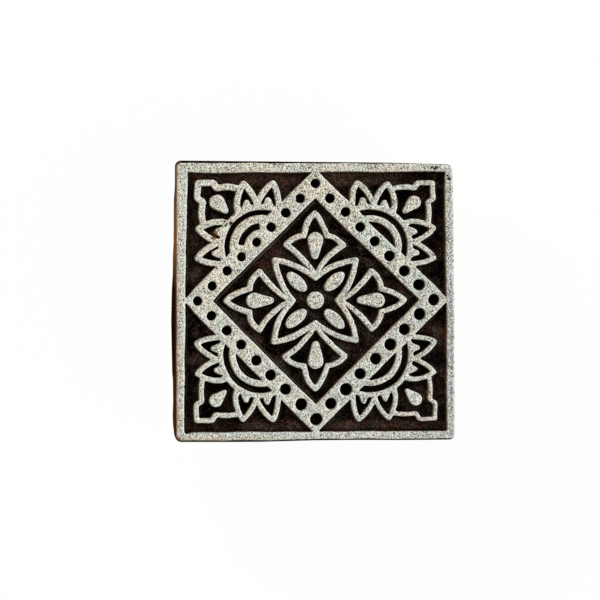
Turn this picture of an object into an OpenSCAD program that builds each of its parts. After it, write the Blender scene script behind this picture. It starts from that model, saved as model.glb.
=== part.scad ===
// Wooden textile printing block, lying face up on its handle.
// Millimetres, +Z up. The origin is the middle of the handle's flat end, which the block rests on.

/* [Block] */
// Side of the square printing face
face_side = 58.5; // [52:0.5:80]
// Thickness of the block, from its back to the printing face
block_t = 22; // [18:0.5:40]
// Radius of the upright corners
corner_r = 1.2; // [0.6:0.1:4]
// Depth of the carved ground below the printing face
relief_d = 3; // [1.5:0.1:5]
// Thickness of the chalk ground that is left on the lands
coat_t = 0.2; // [0.1:0.05:0.4]

/* [Border and diamond] */
// Width of the plain border
border_w = 1.95; // [1.2:0.05:3]
// Width of the diamond band
band_w = 4.45; // [3.6:0.05:6]
// How far the points of the band run into the border
band_joint = 0.6; // [0.4:0.1:1.2]
// Diameter of the drilled dots
dot_d = 2.3; // [1:0.05:2.6]
// Depth of the drilled dots below the printing face
dot_depth = 4; // [2:0.1:8]
// Steps from dot to dot along one side of the diamond
dot_steps = 8; // [4:1:10]

/* [Carved motifs] */
// Width of the carved lines
line_w = 1.1; // [0.9:0.05:1.5]
// Width of the arc grooves in the corner palmettes
groove_w = 1.25; // [0.6:0.05:1.5]
// Width of the land between an arc groove and the crescent inside it
arch_w = 1.35; // [0.9:0.05:2]
// How far the crescents are cut into the edge of the band
crescent_bite = 0.25; // [0:0.05:0.5]
// Diameter of the round land in the middle
centre_d = 3.55; // [2:0.05:5]
// Length of the oval pips inside the petals
oval_l = 5.35; // [3:0.05:6]
// Width of the oval pips inside the petals
oval_w = 2.55; // [1.4:0.05:3]
// Gap between the leaf tips and the diamond band
leaf_gap = 2.6; // [1:0.1:5]
// Gap between the palmette tips and the border
palmette_gap = 1.9; // [0.8:0.1:4]
// Narrowest gap between a leaf's drop and the line around it
drop_gap = 0.45; // [0.2:0.05:0.8]
// Narrowest cut that the carver's tool leaves in the ground
tool_w = 0.2; // [0.1:0.05:0.4]

/* [Handle] */
// Length of the handle bar
handle_l = 48; // [36:0.5:52]
// Width of the handle bar
handle_w = 24; // [20:0.5:32]
// Height of the handle bar
handle_h = 20; // [16:0.5:30]
// Distance from the block's back to the middle of the finger grooves
grip_drop = 9; // [7:0.1:11]
// Depth of the finger grooves along both sides
grip_depth = 3.5; // [1:0.1:5]
// Radius of the finger grooves
grip_r = 9; // [6:0.5:12]
// Chamfer around the handle's long edges at its free end
handle_chamfer = 2; // [0.5:0.1:3]

/* [Nails] */
// Distance between the two nails
nail_pitch = 26; // [16:0.5:32]
// Length of a nail, head included
nail_l = 30; // [26:0.5:34]
// Diameter of a nail's shank
nail_d = 2.6; // [1.8:0.1:3.4]
// Diameter of a nail's head
nail_head_d = 5.6; // [4.5:0.1:7]
// Thickness of a nail's head
nail_head_t = 1.2; // [0.8:0.1:2]
// How far the heads are set below the handle's end
nail_sink = 1; // [0.4:0.1:2]
// Room between a nail and its hole
nail_clear = 0.1; // [0.05:0.05:0.3]

/* [Hidden] */

back_z = handle_h;
face_z = handle_h + block_t;
ground_z = face_z - relief_d;
over = 1;
curve_steps = 5;
arc_step = 20;
true_round = 64;

// The diamond's half diagonals: outer edge, dots along the middle, inner edge
band_out = face_side / 2 - border_w + band_joint;
band_mid = band_out - band_w / sqrt(2);
band_in = band_out - band_w * sqrt(2);

// The flower is drawn to a leaf that reaches 18.5 from the middle, and is sized to its field
flower_k = (band_in - leaf_gap - line_w / 2) / 18.5;

// A palmette is drawn about the middle of its arcs, to petals that reach 13.4 from there,
// and is sized to its corner. The arcs are struck from a point inside the band's outer edge.
arc_inset = 2.65;
arc_c = band_out / 2 - arc_inset;
palmette_k = (face_side / 2 - border_w - palmette_gap - line_w / 2 - arc_c) / 13.4;
ring_r = 8.94 * palmette_k;
groove_r = ring_r - line_w;
crescent_r = groove_r - groove_w - arch_w;
banded_corner = 1;

// The leaf's drop has its round end beside the leaf's notch
leaf_notch = flower_k * [2.45, 13.7];
leaf_drop_head = flower_k * [0, 12.8];
leaf_drop_tail = flower_k * [0, 9.35];
leaf_drop_r = norm(leaf_notch - leaf_drop_head) - line_w / 2 - drop_gap;
leaf_drop_tip_r = 0.72;
corner_drop_head = palmette_k * 9.35;
corner_drop_tail = palmette_k * 7.55;
corner_drop_r = 1.42 * palmette_k;
corner_drop_tip_r = 0.48 * palmette_k;

// Nail holes: a close hole for the shank, and a wider one that sinks the head
nail_point = 2 * nail_d;
head_seat_z = nail_sink + nail_head_t;

// Points along a cubic curve, without its last point
function on_curve(p, t) =
    pow(1 - t, 3) * p[0] + 3 * t * pow(1 - t, 2) * p[1] + 3 * t * t * (1 - t) * p[2] + pow(t, 3) * p[3];
function curve(p) = [for (i = [0 : curve_steps - 1]) on_curve(p, i / curve_steps)];

// Points along an arc, both ends included
function arc(c, r, from, to) =
    let (n = ceil(abs(to - from) / arc_step))
    [for (i = [0 : n]) let (a = from + (to - from) * i / n) c + r * [cos(a), sin(a)]];

function backwards(pts) = [for (i = [len(pts) - 1 : -1 : 0]) pts[i]];
function across_y(pts) = [for (p = pts) [-p.x, p.y]];
function across_diagonal(pts) = [for (p = pts) [p.y, p.x]];
function turned(pts, a) = [for (p = pts) [p.x * cos(a) - p.y * sin(a), p.x * sin(a) + p.y * cos(a)]];

// A drop with its round end at the origin and its narrow end d below
function drop(head_r, tip_r, d) =
    let (a = asin((head_r - tip_r) / d))
    concat(arc([0, 0], head_r, -a, 180 + a), arc([0, -d], tip_r, 180 + a, 360 - a));

function oval(l, w) = [for (a = [0 : arc_step : 359]) [l / 2 * cos(a), w / 2 * sin(a)]];

module rounded_square(side, r) {
    reach = (side / 2 - r) * sqrt(2);
    polygon([for (q = [0 : 3]) let (a = 45 + 90 * q) each arc(reach * [cos(a), sin(a)], r, a - 45, a + 45)]);
}

module diamond(half_diagonal) {
    polygon(half_diagonal * [[1, 0], [0, 1], [-1, 0], [0, -1]]);
}

// The corner beyond one side of such a diamond
module corner_field(half_diagonal) {
    polygon([[half_diagonal, 0], [face_side, 0], [face_side, face_side], [0, face_side], [0, half_diagonal]]);
}

// A carved line that runs along the edge of a closed shape
module line_around() {
    difference() {
        offset(r = line_w / 2, $fn = 16) children();
        offset(delta = -line_w / 2) children();
    }
}

module at_four_sides() {
    for (q = [0 : 3]) rotate(90 * q) children();
}

// Four pointed petals on the diagonals
module petals_shape() {
    edge = curve(flower_k * [[0, 4.75], [1.9, 6.35], [5, 8.15], [8.45, 8.45]]);
    tip = flower_k * [[8.45, 8.45]];
    back = [for (i = [len(edge) - 1 : -1 : 1]) edge[i]];
    petal = concat(edge, tip, across_diagonal(back));
    polygon([for (q = [0 : 3]) each turned(petal, -90 * q)]);
}

// A three-pointed leaf on the +Y axis
module leaf_shape() {
    tip = flower_k * [0, 18.5];
    side = flower_k * [6.1, 11.65];
    base = flower_k * [0, 5.05];
    half = concat(
        curve([tip, flower_k * [1.2, 17.4], flower_k * [2, 15.6], leaf_notch]),
        curve([leaf_notch, flower_k * [3.9, 13.7], flower_k * [5.2, 12.8], side]),
        curve([side, flower_k * [4.45, 10.6], flower_k * [1.75, 8.4], base]));
    back = [for (i = [len(half) - 1 : -1 : 1]) half[i]];
    polygon(concat(half, [base], across_y(back)));
}

// The narrow cuts that part a leaf from the petals on both sides, pointed towards the middle
module leaf_clefts() {
    cleft = flower_k * [[1, 6.05], [1.85, 6.7], [2.7, 7.4], [2.65, 7.9], [1.75, 7.05]];
    polygon(cleft);
    polygon(across_y(cleft));
}

module flower_lines() {
    difference() {
        union() {
            line_around() petals_shape();
            at_four_sides() line_around() leaf_shape();
        }
        at_four_sides() leaf_clefts();
    }
}

module flower_pips() {
    at_four_sides() {
        rotate(45) translate([flower_k * 5.55, 0]) polygon(oval(oval_l, oval_w));
        translate(leaf_drop_head)
            polygon(drop(leaf_drop_r, leaf_drop_tip_r, norm(leaf_drop_head - leaf_drop_tail)));
    }
}

// The petal beside the corner shares its inner side with the corner's outline
function second_petal_side() = palmette_k * [[3.8, 13.3], [4.7, 12.1], [5.9, 9.2], [4.9, 7.2]];
function second_foot() = palmette_k * [3.8, 6];

// The two petals of a palmette above its diagonal: first the one by the band
module petal_arches() {
    k = palmette_k;
    first_tip = k * [-2.4, 13.4];
    second_tip = second_petal_side()[0];
    valley = k * [1, 8.9];
    valley_foot = k * [1, 6.5];
    line_around() polygon(concat(
        [k * [-3.5, 6.5]],
        curve([k * [-3.6, 8.2], k * [-3.55, 10.3], k * [-3.2, 12.3], first_tip]),
        curve([first_tip, k * [-1.1, 12.7], k * [0.2, 10.9], valley]),
        [valley, valley_foot]));
    line_around() polygon(concat(
        [valley_foot],
        curve([valley, k * [1.5, 10.6], k * [2.5, 12.25], second_tip]),
        curve(second_petal_side()),
        [second_foot()]));
}

// The rounded nubs that stand inside those petals, wide where they leave the ring
module petal_nubs() {
    k = palmette_k;
    for (foot = [[-1.3, 8.4], [3.15, 7.9]])
        translate(k * foot) rotate(180) polygon(drop(1.08 * k, 0.51 * k, 1.45 * k));
}

// The stepped outline that fills the corner, on both sides of the diagonal
module corner_shape() {
    k = palmette_k;
    notch = k * [9.2, 12.3];
    shoulder = k * [10.5, 13.5];
    corner = k * [13.4, 13.4];
    half = concat(
        [second_foot()],
        [for (i = [curve_steps : -1 : 2]) on_curve(second_petal_side(), i / curve_steps)],
        curve([k * [4.6, 12.15], k * [6.2, 12.5], k * [7.9, 12.5], notch]),
        curve([notch, k * [9.9, 12.3], k * [9.7, 13.45], shoulder]),
        [shoulder]);
    polygon(concat(half, [corner], across_diagonal(backwards(half))));
}

// A palmette grows out of the band, so it is cut off along the middle of the band
module palmette_lines() {
    intersection() {
        translate([arc_c, arc_c]) {
            circle(r = ring_r, $fn = 40);
            line_around() corner_shape();
            for (flip = [0, 1]) mirror(flip * [1, -1]) {
                petal_arches();
                petal_nubs();
            }
        }
        corner_field(band_mid);
    }
}

module corner_drop() {
    translate((arc_c + corner_drop_head) * [1, 1]) rotate(-45)
        polygon(drop(corner_drop_r, corner_drop_tip_r, (corner_drop_head - corner_drop_tail) * sqrt(2)));
}

// The lands inside the border, before the arc grooves and dots are cut into them
module plain_lands() {
    difference() {
        diamond(band_out);
        diamond(band_in);
    }
    flower_lines();
    flower_pips();
    at_four_sides() {
        palmette_lines();
        corner_drop();
    }
}

// The ground between the lands, without the slits that are too narrow for the tool
module ground_outline() {
    offset(delta = tool_w / 2) offset(delta = -tool_w / 2) difference() {
        square(face_side - 2 * border_w, center = true);
        plain_lands();
    }
}

// Arc groove and crescent of one palmette, cut off straight along the band
module palmette_grooves(banded) {
    intersection() {
        translate([arc_c, arc_c]) difference() {
            circle(r = groove_r, $fn = true_round);
            circle(r = groove_r - groove_w, $fn = true_round);
        }
        corner_field(band_out);
    }
    intersection() {
        translate([arc_c, arc_c]) difference() {
            circle(r = crescent_r, $fn = true_round);
            if (banded) circle(r = crescent_r - groove_w, $fn = true_round);
        }
        corner_field(band_out - crescent_bite);
    }
}

// Everything that is cut down into the printing face
module face_cuts() {
    translate([0, 0, ground_z]) linear_extrude(relief_d + over) difference() {
        ground_outline();
        circle(d = centre_d, $fn = true_round);
    }
    for (q = [0 : 3]) rotate(90 * q)
        translate([0, 0, ground_z]) linear_extrude(relief_d + over) palmette_grooves(q == banded_corner);
    for (q = [0 : 3], i = [0 : dot_steps - 1]) rotate(90 * q)
        translate([band_mid * (1 - i / dot_steps), band_mid * i / dot_steps, face_z - dot_depth])
            cylinder(d = dot_d, h = dot_depth + over, $fn = true_round);
}

module at_nails() {
    for (side = [-1, 1]) translate([side * nail_pitch / 2, 0, nail_sink]) children();
}

// A nail standing on its head, or with room around it the hole that takes it
module nail_form(room) {
    shank_r = nail_d / 2 + room;
    rotate_extrude($fn = true_round) polygon([
        [0, nail_head_t], [shank_r, nail_head_t],
        [shank_r, nail_l - nail_point + room], [0, nail_l + room]]);
}

module carved_block() {
    color("#4a2d1b") difference() {
        translate([0, 0, back_z]) linear_extrude(block_t - coat_t) rounded_square(face_side, corner_r);
        face_cuts();
        at_nails() nail_form(nail_clear);
    }
}

module ground_coat() {
    color("#cdcabb") difference() {
        translate([0, 0, face_z - coat_t]) linear_extrude(coat_t) rounded_square(face_side, corner_r);
        face_cuts();
    }
}

module handle() {
    half_w = handle_w / 2;
    groove_y = half_w - grip_depth + grip_r;
    groove_z = handle_h - grip_drop;
    color("#7a5130") difference() {
        intersection() {
            rotate([90, 0, 90]) linear_extrude(handle_l, center = true) polygon([
                [-half_w + handle_chamfer, 0], [half_w - handle_chamfer, 0], [half_w, handle_chamfer],
                [half_w, handle_h], [-half_w, handle_h], [-half_w, handle_chamfer]]);
            cylinder(d = handle_l, h = handle_h, $fn = true_round);
        }
        for (side = [-1, 1]) translate([0, side * groove_y, groove_z]) rotate([0, 90, 0])
            cylinder(r = grip_r, h = handle_l + 2 * over, center = true, $fn = true_round);
        at_nails() {
            nail_form(nail_clear);
            translate([0, 0, -nail_sink - over])
                cylinder(d = nail_head_d + 2 * nail_clear, h = head_seat_z + over, $fn = true_round);
        }
    }
}

module handle_nails() {
    color("#6a6762") at_nails() union() {
        cylinder(d = nail_head_d, h = nail_head_t, $fn = true_round);
        nail_form(0);
    }
}

carved_block();
ground_coat();
handle();
handle_nails();
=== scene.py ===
"""Looks of a hand-carved wooden textile printing block, lying face up on its handle."""

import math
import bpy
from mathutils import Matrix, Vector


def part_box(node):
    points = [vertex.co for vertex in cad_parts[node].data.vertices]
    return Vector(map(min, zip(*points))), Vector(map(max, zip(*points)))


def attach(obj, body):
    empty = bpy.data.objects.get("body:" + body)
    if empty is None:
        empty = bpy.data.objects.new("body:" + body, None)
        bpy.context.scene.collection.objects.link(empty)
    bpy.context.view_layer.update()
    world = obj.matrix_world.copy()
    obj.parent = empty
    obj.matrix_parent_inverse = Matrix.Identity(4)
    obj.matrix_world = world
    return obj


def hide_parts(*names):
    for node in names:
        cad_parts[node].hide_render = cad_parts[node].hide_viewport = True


bl_info = {
    "name": "Wooden printing block",
    "version": (1, 0, 0),
    "blender": (4, 5, 0),
    "location": "3D View > Sidebar > Printing block",
    "description": "Carves a textile printing block and gives it its chalk ground, handle and nails",
    "category": "Add Mesh",
}

from collections import namedtuple
from functools import partial

import bmesh
import bpy
import numpy as np
from bpy.props import FloatProperty, FloatVectorProperty, IntProperty, PointerProperty
from mathutils import Matrix, Vector, noise
from mathutils.geometry import delaunay_2d_cdt
from mathutils.kdtree import KDTree

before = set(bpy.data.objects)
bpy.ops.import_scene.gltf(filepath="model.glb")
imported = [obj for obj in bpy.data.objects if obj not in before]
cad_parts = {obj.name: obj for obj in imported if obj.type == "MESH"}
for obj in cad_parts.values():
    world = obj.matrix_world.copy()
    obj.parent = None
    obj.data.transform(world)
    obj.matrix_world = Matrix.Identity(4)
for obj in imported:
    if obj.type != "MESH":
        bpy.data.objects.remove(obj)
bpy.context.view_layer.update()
BODY = "root"

# Meshes are worked out in millimetres and written in metres
MM = 0.001
# Differences below this, in mm or in a unit vector, don't count
FLAT = 0.001
FULL_TURN = 2 * math.pi


def mm(metres):
    """Metres in millimetres."""
    return metres / MM


def linear(hex_colour):
    """The linear RGBA of a colour written as sRGB hex."""
    channels = [int(hex_colour[i:i + 2], 16) / 255 for i in (1, 3, 5)]
    return (*[c / 12.92 if c <= 0.04045 else ((c + 0.055) / 1.055) ** 2.4 for c in channels], 1.0)


def size_of(name, description, default):
    """A length that a user may change, with its default in millimetres."""
    return FloatProperty(name=name, description=description, default=default * MM, unit="LENGTH", precision=6)


def angle_of(name, description, default):
    """An angle that a user may change, with its default in degrees."""
    return FloatProperty(name=name, description=description, default=math.radians(default), subtype="ANGLE")


def share_of(name, description, default):
    """A share that a user may change."""
    return FloatProperty(name=name, description=description, default=default, subtype="FACTOR", min=0, max=1)


def count_of(name, description, default):
    """A whole number that a user may change, from 1 up, as a seed of 0 would differ in each run."""
    return IntProperty(name=name, description=description, default=default, min=1)


def colour_of(name, description, default):
    """A colour that a user may change, with its default in sRGB hex."""
    return FloatVectorProperty(
        name=name, description=description, default=linear(default), subtype="COLOR", size=4, min=0, max=1)


class CarvingSizes(bpy.types.PropertyGroup):
    """How the carver's hand and years of use show in the relief"""

    seed: count_of("Seed", "Start of the scatter of hand-made unevenness", 11)
    edge_step: size_of("Edge step", "Distance between points along a carved edge", 0.27)
    easing: count_of("Easing", "How often the drawn corners are rounded off", 3)
    drift: size_of("Drift", "How far the cuts wander from the drawing", 0.13)
    drift_wave: size_of("Drift wave", "Distance over which the cuts wander", 5.0)
    tremor: size_of("Tremor", "Small unevenness along the cuts", 0.065)
    tremor_wave: size_of("Tremor wave", "Distance over which that unevenness changes", 0.8)
    taper: size_of("Taper", "How much taller each half was sawn on its left than in its middle", 0.185)
    top_fall: size_of("Top fall", "How far the top edge was sawn down towards the right", 0.1)
    right_flare: size_of("Right flare", "How far the right edge was sawn outwards towards the foot", 0.2)
    foot_step: size_of("Foot step", "How far the foot edge steps down on its left and up on its right", 0.11)
    knock: size_of("Knock", "How much the upper right corner was knocked off", 0.25)
    spread: size_of("Spread", "How much wider than drawn the inner half of the pattern was laid out", 0.31)
    right_bulge: size_of("Right bulge", "How far the pattern's sides lean to the right", 0.15)
    foot_spread: size_of("Foot spread", "How much wider each half of the pattern is at its foot", 0.25)
    middle_lift: size_of("Middle lift", "How far the pattern's middle sits too high", 0.32)
    squeeze: size_of("Squeeze", "How much lower than drawn each half of the pattern is at its end", 0.14)
    shift_right: size_of("Shift right", "How far the pattern was laid out to the right of the middle", 0.2)
    shift_down: size_of("Shift down", "How far the pattern was laid out below the middle", 0.105)
    right_rise: size_of("Right rise", "How far the pattern's right end was drawn too high", 0.1)
    corner_gain: size_of("Corner gain", "How much wider the lands were left in the upper left corner", 0.3)
    corner_loss: size_of("Corner loss", "How much narrower the lands were cut in all corners", 0.1)
    lower_loss: size_of("Lower loss", "How much narrower the lands were cut in the lower right corner", 0.12)
    left_loss: size_of("Left loss", "How much narrower the left border was cut", 0.16)
    band_reach: angle_of("Band reach", "How far the upper left crescent's band turns each way", 40)
    band_inset: size_of("Band inset", "How far inside its drawn arc that band was cut", 0.31)
    dot_scatter: size_of("Dot scatter", "How far a drilled dot may sit beside its mark", 0.1)
    dot_spread: share_of("Dot spread", "How much the drilled dots differ in width", 0.04)
    dot_growth: share_of("Dot growth", "How much wider the dots get from the middle to the lower right", 0.12)
    bare_edge: size_of("Bare edge", "Strip along the top edge that the chalk has worn off", 0.36)
    ground_wave: size_of("Ground wave", "Width of the gouge's marks in the ground", 1.7)
    ground_swell: size_of("Ground swell", "Height of the gouge's marks in the ground", 0.16)
    side_swell: size_of("Side swell", "Unevenness of the sawn sides", 0.1)


class WoodLooks(bpy.types.PropertyGroup):
    """Colours of the dye-stained block"""

    bare: colour_of("Bare wood", "Sides where the stain has worn off", "#6e4722")
    stain: colour_of("Stain", "Sides soaked with old dye", "#1a0604")
    ground: colour_of("Ground", "Carved ground, black with dye", "#060302")
    rust: colour_of("Red-brown", "Ground where the dye has worn thin", "#8c604a")
    slate: colour_of("Slate", "Ground where the thin dye looks greyer", "#6c6056")
    chip: colour_of("Splinter", "Raw wood where an edge has splintered off", "#7d5638")
    # Colour of the chalk dust and painted light on the upper walls, which also tints the flecks and the pale
    # line in the ground
    dust_and_light: colour_of("Dust", "Chalk dust on the upper part of the walls", "#857662")
    ring: size_of("Ring", "Width of the wood's growth rings", 1.7)
    pore: size_of("Pore", "Distance between the wood's pores", 0.55)
    blot: size_of("Blot", "Size of the dye's blots in the ground", 3.6)
    fleck: size_of("Fleck", "Size of the flecks in the ground", 0.17)
    run: size_of("Run", "Width of the dye's runs down the sides", 6.0)


class ChalkLooks(bpy.types.PropertyGroup):
    """Colours of the chalk ground on the lands"""

    pale: colour_of("Pale chalk", "Clean grains of the chalk in the upper left", "#fdf6e4")
    cool: colour_of("Cool chalk", "Clean grains of the chalk in the lower right", "#eeefe6")
    dull: colour_of("Dull chalk", "Soiled grains of the chalk in the upper left", "#5c5549")
    dull_cool: colour_of("Dull cool chalk", "Soiled grains of the chalk in the lower right", "#53554e")
    warm: colour_of("Warm chalk", "Rubbed outer halves of the left and lower border", "#f0cba2")
    cold: colour_of("Cold chalk", "Inner half of the left border and outer half of the right one", "#dcecec")
    moss: colour_of("Greenish chalk", "Stains that look a little green", "#e4f2de")
    straw: colour_of("Straw chalk", "Patches that look a little yellow", "#f9ead4")
    # Painted highlight on the right-hand rims
    rim: colour_of("Rim", "Right-hand rims, where the chalk is thick", "#fdfffa")
    pit: colour_of("Pits", "Pores where the wood shows", "#221910")
    worn: colour_of("Worn edge", "Wood that shows through the rubbed edges", "#8f6f4e")
    # Painted shade on the edges of the lands, most on the left-hand ones
    rounded: colour_of("Rounded edge", "Left-hand edges, where the chalk thins over the wood", "#8a745e")
    chip: colour_of("Chip", "Bare wood where the chalk has chipped off", "#7d5638")
    speckle: size_of("Speckle", "Size of the chalk's grains", 0.09)
    dash: size_of("Dash", "Distance between the upright pores", 0.26)
    stain: size_of("Stain", "Size of the faint stains in the chalk", 1.4)
    patch: size_of("Patch", "Size of the chalk's lighter, greener and yellower patches", 4.5)
    pit_gap: size_of("Pit gap", "Distance between the places where the chalk may have a pit", 1.1)


class HandleLooks(bpy.types.PropertyGroup):
    """Shape and colours of the worn handle"""

    mesh_step: size_of("Mesh step", "Size of the handle's mesh squares", 0.5)
    rounding: count_of("Rounding", "How far use has rounded the handle's edges", 8)
    swell: size_of("Swell", "Unevenness of the shaved sides", 0.18)
    pale: colour_of("Pale wood", "Pale grain of the oiled wood", "#8a5a30")
    dark: colour_of("Dark wood", "Dark grain and grime", "#3d2212")
    ring: size_of("Ring", "Width of the wood's growth rings", 2.2)
    pore: size_of("Pore", "Distance between the wood's pores", 0.55)
    grime: size_of("Grime", "Size of the grimy patches", 9.0)


class NailLooks(bpy.types.PropertyGroup):
    """Shape and colours of the driven nails"""

    dent: size_of("Dent", "Depth of the hammer's marks on the heads", 0.08)
    steel: colour_of("Steel", "Dull steel", "#6a6762")
    rust: colour_of("Rust", "Rust on the heads", "#5a3420")
    blot: size_of("Blot", "Size of the rust's blots", 0.9)


class StageLooks(bpy.types.PropertyGroup):
    """Camera, floor and light"""

    floor: colour_of("Floor", "Pale floor", "#f6f5f2")
    floor_white: share_of("Floor white", "How far plain white covers the floor's shadow", 0.96)
    surround: share_of("Surround", "Strength of the even light from all sides", 0.45)
    distance: size_of("Distance", "From the camera to the printing face", 1000.0)
    side_angle: angle_of("Side angle", "Camera's lean to the left of upright", 3.1)
    front_angle: angle_of("Front angle", "Camera's lean to the front of upright", 0.5)
    view_width: size_of("View width", "Width of the picture at the printing face", 125.7)
    aim_x: size_of("Aim across", "Middle of the picture beside the middle of the face", -3.09)
    aim_y: size_of("Aim up", "Middle of the picture above the middle of the face", 0.275)
    turn: angle_of("Turn", "Turn of the picture", 0.11)


class PrintingBlock(bpy.types.PropertyGroup):
    """All that a user may change on the printing block"""

    carving: PointerProperty(type=CarvingSizes)
    wood: PointerProperty(type=WoodLooks)
    chalk: PointerProperty(type=ChalkLooks)
    handle: PointerProperty(type=HandleLooks)
    nails: PointerProperty(type=NailLooks)
    stage: PointerProperty(type=StageLooks)


# Outlines

def flat_levels(node):
    """Heights of a node's upward flat faces in mm, from the top down."""
    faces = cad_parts[node].data.polygons
    heights = {round(mm(f.center.z), 2) for f in faces if f.normal.z > 1 - FLAT}
    return sorted(heights, reverse=True)


def around(ring):
    """Each member of a closed ring with the one after it."""
    return list(zip(ring, ring[1:] + ring[:1]))


def top_outlines(node):
    """Closed outlines of a node's top faces in mm, each with the land on its left hand."""
    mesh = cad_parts[node].data
    corners = [tuple(round(mm(c), 4) for c in v.co) for v in mesh.vertices]
    top = max(corner[2] for corner in corners)
    sides = {}
    for face in mesh.polygons:
        ring = [corners[i] for i in face.vertices]
        if all(corner[2] > top - FLAT for corner in ring):
            sides.update(dict.fromkeys(around(ring)))
    follow = {a: b for a, b in sides if (b, a) not in sides}
    loops = []
    while follow:
        point, after = follow.popitem()
        loop = [point]
        while after in follow:
            loop.append(after)
            after = follow.pop(after)
        loops.append(np.array(loop)[:, :2])
    return loops


def area(loop):
    """Area of an outline in square mm, below 0 for a hole."""
    ahead = np.roll(loop, -1, 0)
    return float(np.sum(loop[:, 0] * ahead[:, 1] - loop[:, 1] * ahead[:, 0]) / 2)


def perimeter(loop):
    """Length of an outline in mm."""
    return float(np.hypot(*(np.roll(loop, -1, 0) - loop).T).sum())


# A hole with this share of the area of a circle of the same perimeter is as good as round
ROUND = 0.97


def is_dot(loop):
    """A drilled dot is a hole that is as good as round."""
    return -4 * math.pi * area(loop) / perimeter(loop) ** 2 > ROUND


# An outline keeps at least this many points
FEWEST_POINTS = 12


def even_steps(loop, step):
    """The same outline with points at even steps."""
    closed = np.vstack([loop, loop[:1]])
    along = np.concatenate([[0], np.cumsum(np.hypot(*np.diff(closed, axis=0).T))])
    count = max(round(along[-1] / step), FEWEST_POINTS)
    at = np.arange(count) / count * along[-1]
    return np.column_stack([np.interp(at, along, closed[:, k]) for k in (0, 1)])


def eased(loop, rounds):
    """The outline with softer corners: each round smooths it and then undoes the shrinking."""
    for weight in rounds * (0.5, -0.52):
        between = (np.roll(loop, 1, 0) + np.roll(loop, -1, 0)) / 2
        loop = loop + weight * (between - loop)
    return loop


def outward(loop):
    """Unit normals that point away from the land."""
    along = np.roll(loop, -1, 0) - np.roll(loop, 1, 0)
    return np.column_stack([along[:, 1], -along[:, 0]]) / np.hypot(*along.T)[:, None]


def wander(points, reach, wave):
    """Points moved a little, as a hand-led tool strays from the line."""
    moves = np.array([noise.noise_vector((x / wave, y / wave, wave)) for x, y in points])
    return points + reach * moves[:, :2]


def swell(x, y, wave):
    """Smooth unevenness from about -1 to 1 over a surface."""
    return noise.noise((x / wave, y / wave, wave))


def profile_at(profile, place):
    """Value at a place, or at several, of a profile that is given as pairs of place and value."""
    return np.interp(place, *np.array(profile).T)


# Where the knife strayed from the drawing: place, reach, and how far to the right and up, in mm
SLIPS = ((5.4, 13.0, 2.6, -0.4, 0.0), (3.2, 8.8, 2.0, -0.3, 0.0), (2.0, 16.3, 1.8, -0.25, 0.0),
         (-1.9, 17.0, 1.6, -0.25, -0.1), (-17.8, 0.2, 2.4, -0.35, 0.0), (-13.5, -4.6, 2.2, -0.2, -0.2),
         (-8.2, -8.2, 2.6, -0.25, -0.2), (-8.6, -4.6, 1.8, -0.35, -0.1), (-5.2, -4.8, 2.4, -0.2, 0.28),
         (-4.4, -8.4, 1.5, 0.0, -0.2), (-5.4, -12.3, 2.2, -0.25, -0.15), (-1.6, -17.2, 1.8, -0.2, -0.1),
         (25.0, 23.0, 2.0, -0.25, 0.0), (19.4, 18.8, 1.3, -0.3, -0.2), (8.6, 23.5, 2.2, -0.2, 0.1),
         (-24.9, 22.6, 2.0, -0.2, 0.0), (-24.3, 18.2, 2.0, -0.2, 0.0), (-18.6, 24.2, 2.0, 0.0, 0.3),
         (19.6, 24.8, 1.8, -0.1, 0.25))


def strayed(points):
    """How far the knife strayed at each point."""
    moves = np.zeros_like(points)
    for x, y, reach, right, up in SLIPS:
        near = np.exp(-((points - (x, y)) ** 2).sum(1) / reach ** 2)
        moves += near[:, None] * (right, up)
    return moves


# Share of the sawn taper that the drawing followed
LAYOUT_TAPER = 0.43


def laid_out(points, half, sizes):
    """Points of the drawing as it was laid out by eye: a little wide, wider at its foot, its middle high."""
    x, y = (points / half).T
    right = mm(sizes.spread) * x * (1 - x * x - y * y / 2) + mm(sizes.right_bulge) * x * x * (1 + 0.7 * y)
    right += mm(sizes.shift_right) - mm(sizes.foot_spread) * x * y
    up = mm(sizes.middle_lift) * (1 - y * y) - mm(sizes.squeeze) * y ** 3
    up += mm(sizes.right_rise) * x - mm(sizes.shift_down)
    return tapered(points + strayed(points) + np.column_stack([right, up]), half, sizes, LAYOUT_TAPER)


def tapered(points, half, sizes, share=1.0):
    """Points as sawn out of square, so that the block is taller on its left than on its right."""
    x, y = (points / half).T
    return points - share * mm(sizes.taper) * np.column_stack([0 * x, x * y])


# How the foot edge was sawn too low (-1) or too high (1): place as a share of half its length, height
FOOT_STEPS = ((-0.9, 0.0), (-0.6, -0.8), (-0.4, -1.0), (0.0, 1.0), (0.3, 1.0), (0.6, 0.0))
# From here on the upper right corner is knocked off: place along the diagonal, which is 2 in the corner
KNOCK_FROM = 1.55


def sawn_out(points, half, sizes):
    """The block's outline as sawn: out of square, with uneven edges and a knocked-off corner."""
    x, y = (points / half).T
    knocked = mm(sizes.knock) * np.maximum(0, (x + y - KNOCK_FROM) / (2 - KNOCK_FROM))
    right = mm(sizes.right_flare) * np.maximum(0, x) * (0.35 - 0.5 * y) - knocked
    up = -mm(sizes.top_fall) * x * np.maximum(0, y) - knocked
    up += mm(sizes.foot_step) * np.maximum(0, -y) * profile_at(FOOT_STEPS, x)
    return tapered(points, half, sizes) + np.column_stack([right, up])


# Points along each arc of the band
ARC_POINTS = 24


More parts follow.
